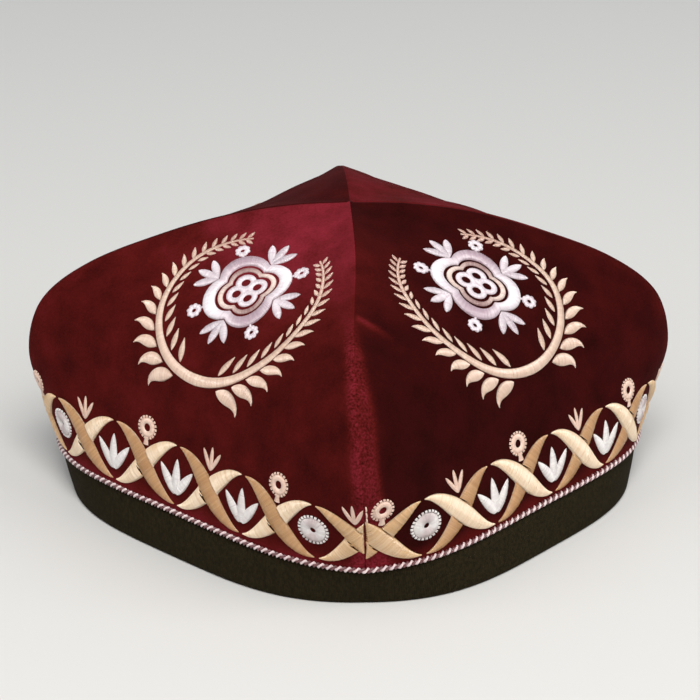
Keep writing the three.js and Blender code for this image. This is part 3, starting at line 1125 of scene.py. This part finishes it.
# Stitches on a panel, as closed threads that arch over the velvet, each paler or deeper by its tone, which
# holds painted sheen and shade beside the thread's own colour
def make_stitches(name, panel, place, stitches, tone_and_sheen, material, random):
    stitches, kept = trimmed(
        stitches, lambda at: SEAM_EDGE - np.abs(place(panel, at[..., 0], at[..., 1])[0])
    )
    tone_and_sheen = np.broadcast_to(tone_and_sheen, len(kept))[kept]
    length = np.linalg.norm(stitches[:, 1] - stitches[:, 0], axis=-1)
    long_enough = length > STITCH_LEAST
    stitches, tone_and_sheen, length = stitches[long_enough], tone_and_sheen[long_enough], length[long_enough]
    start = stitches[:, 0]
    reach = stitches[:, 1] - start
    side = leftwards(reach) / length[:, None]
    share, lift_share, width_share = STITCH_ROWS.T
    centre = start[:, None] + share[None, :, None] * reach[:, None]
    offset = side[:, None] * (THREAD_WIDTH / 2 * width_share)[None, :, None]
    plan = np.stack((centre - offset, centre, centre + offset), axis=2)
    crest = np.minimum(length * PAD_SHARE, PAD_MOST) + THREAD_HEIGHT + STITCH_SINK
    crest = crest * (1 + CREST_SPREAD * random.standard_normal(len(length)))
    lift = crest[:, None] * lift_share[None, :] - STITCH_SINK
    lifts = np.stack((lift - THREAD_HEIGHT, lift, lift - THREAD_HEIGHT), axis=2)
    across, rise = place(panel, plan[..., 0].ravel(), plan[..., 1].ravel())
    points = velvet_point(panel, across, rise, lifts.ravel())
    rows, corners = plan.shape[1:3]
    first = np.arange(len(length))[:, None, None] * rows * corners
    quads = (first + tube_faces(rows, corners)[:-corners]).reshape(-1, 4)
    start_cap = first[:, 0] + np.arange(corners)
    end_cap = start_cap[:, ::-1] + (rows - 1) * corners
    caps = np.concatenate((start_cap, end_cap))
    piece = add_piece(name, points, quads.tolist() + caps.tolist(), material)
    tone_and_sheen = np.clip(TONE_MIDDLE + tone_and_sheen + TONE_SPREAD * random.standard_normal(len(length)), 0, 1)
    store(piece, "tone_and_sheen", np.repeat(tone_and_sheen, rows * corners))


# All the embroidery of one panel
def embroider(panel, threads, random):
    row = PANELS[panel]
    # The painted sheen of the threads on this panel
    painted_gleam = row["painted_gleam"]
    for name, place, (stitches, tone_and_sheen), thread in (
        ("border_twist_", border_place, twist_stitches(painted_gleam), "gold"),
        ("border_flowers_", border_place, flower_stitches(), "ivory"),
        ("border_toppers_", border_place, (topper_stitches(), 0.0), "peach"),
        ("wreath_", medallion_place, wreath_stitches(MEDALLIONS[panel]["wreath_shift"]), "cream"),
        ("medallion_", medallion_place, medallion_stitches(painted_gleam), "white"),
        ("medallion_band_", medallion_place, band_stitches(painted_gleam), "pink"),
    ):
        make_stitches(name + row["name"], panel, place, stitches, tone_and_sheen, threads[thread], random)


# A plain pale floor
def make_floor():
    mesh = bpy.data.meshes.new("floor")
    corners = [(FLOOR_HALF * x, FLOOR_HALF * y, 0) for x, y in ((-1, -1), (1, -1), (1, 1), (-1, 1))]
    mesh.from_pydata(corners, [], [(0, 1, 2, 3)])
    material = new_material("pale_floor", roughness=0.6, base_color=FLOOR_COLOUR)[0]
    mesh.materials.append(material)
    floor = bpy.data.objects.new("floor", mesh)
    bpy.context.scene.collection.objects.link(floor)


# A lamp or a camera, put into the scene and turned to the cap's middle
def aim(item):
    target = Vector((0.0, 0.0, CAMERA_AIM)) * MM
    item.rotation_euler = (target - item.location).to_track_quat("-Z", "Y").to_euler()
    bpy.context.scene.collection.objects.link(item)


# A square soft light that faces the cap
def add_light(name, place, size, power, colour):
    light = bpy.data.lights.new(name, "AREA")
    light.size = size
    light.energy = power
    light.color = colour
    lamp = bpy.data.objects.new(name, light)
    lamp.location = place
    aim(lamp)


# Soft studio light, and the camera at the photograph's angle
def make_studio():
    world = bpy.data.worlds.new("studio")
    world.use_nodes = True
    sky = world.node_tree.nodes["Background"]
    sky.inputs["Color"].default_value = SKY_COLOUR
    sky.inputs["Strength"].default_value = SKY_STRENGTH
    bpy.context.scene.world = world
    for row in LIGHT_ROWS:
        add_light(*row)
    camera = bpy.data.objects.new("camera", bpy.data.cameras.new("camera"))
    camera.data.sensor_width = SENSOR_WIDTH
    camera.data.lens = FOCAL_PIXELS / IMAGE_WIDTH * SENSOR_WIDTH
    turn = math.radians(CAMERA_TURN)
    tilt = math.radians(CAMERA_ELEVATION)
    level = CAMERA_DISTANCE * math.cos(tilt)
    height = CAMERA_AIM + CAMERA_DISTANCE * math.sin(tilt)
    camera.location = Vector((level * math.sin(turn), -level * math.cos(turn), height)) * MM
    aim(camera)
    bpy.context.scene.camera = camera
    bpy.context.scene.view_settings.view_transform = "Standard"


random = np.random.default_rng(SEED)
velvet = make_velvet()
backing = make_backing()
threads = {name: make_thread(name + "_thread", *row) for name, row in THREAD_ROWS.items()}
for panel in range(len(PANELS)):
    make_panel(panel, velvet, backing)
    embroider(panel, threads, random)
make_stitches("seam_tack_front", TACK_PANEL, seam_place, tack_stitches(), 0.0, threads["peach"], random)
make_binding(make_ribbon())
make_cord(threads["edge"])
make_floor()
make_studio()
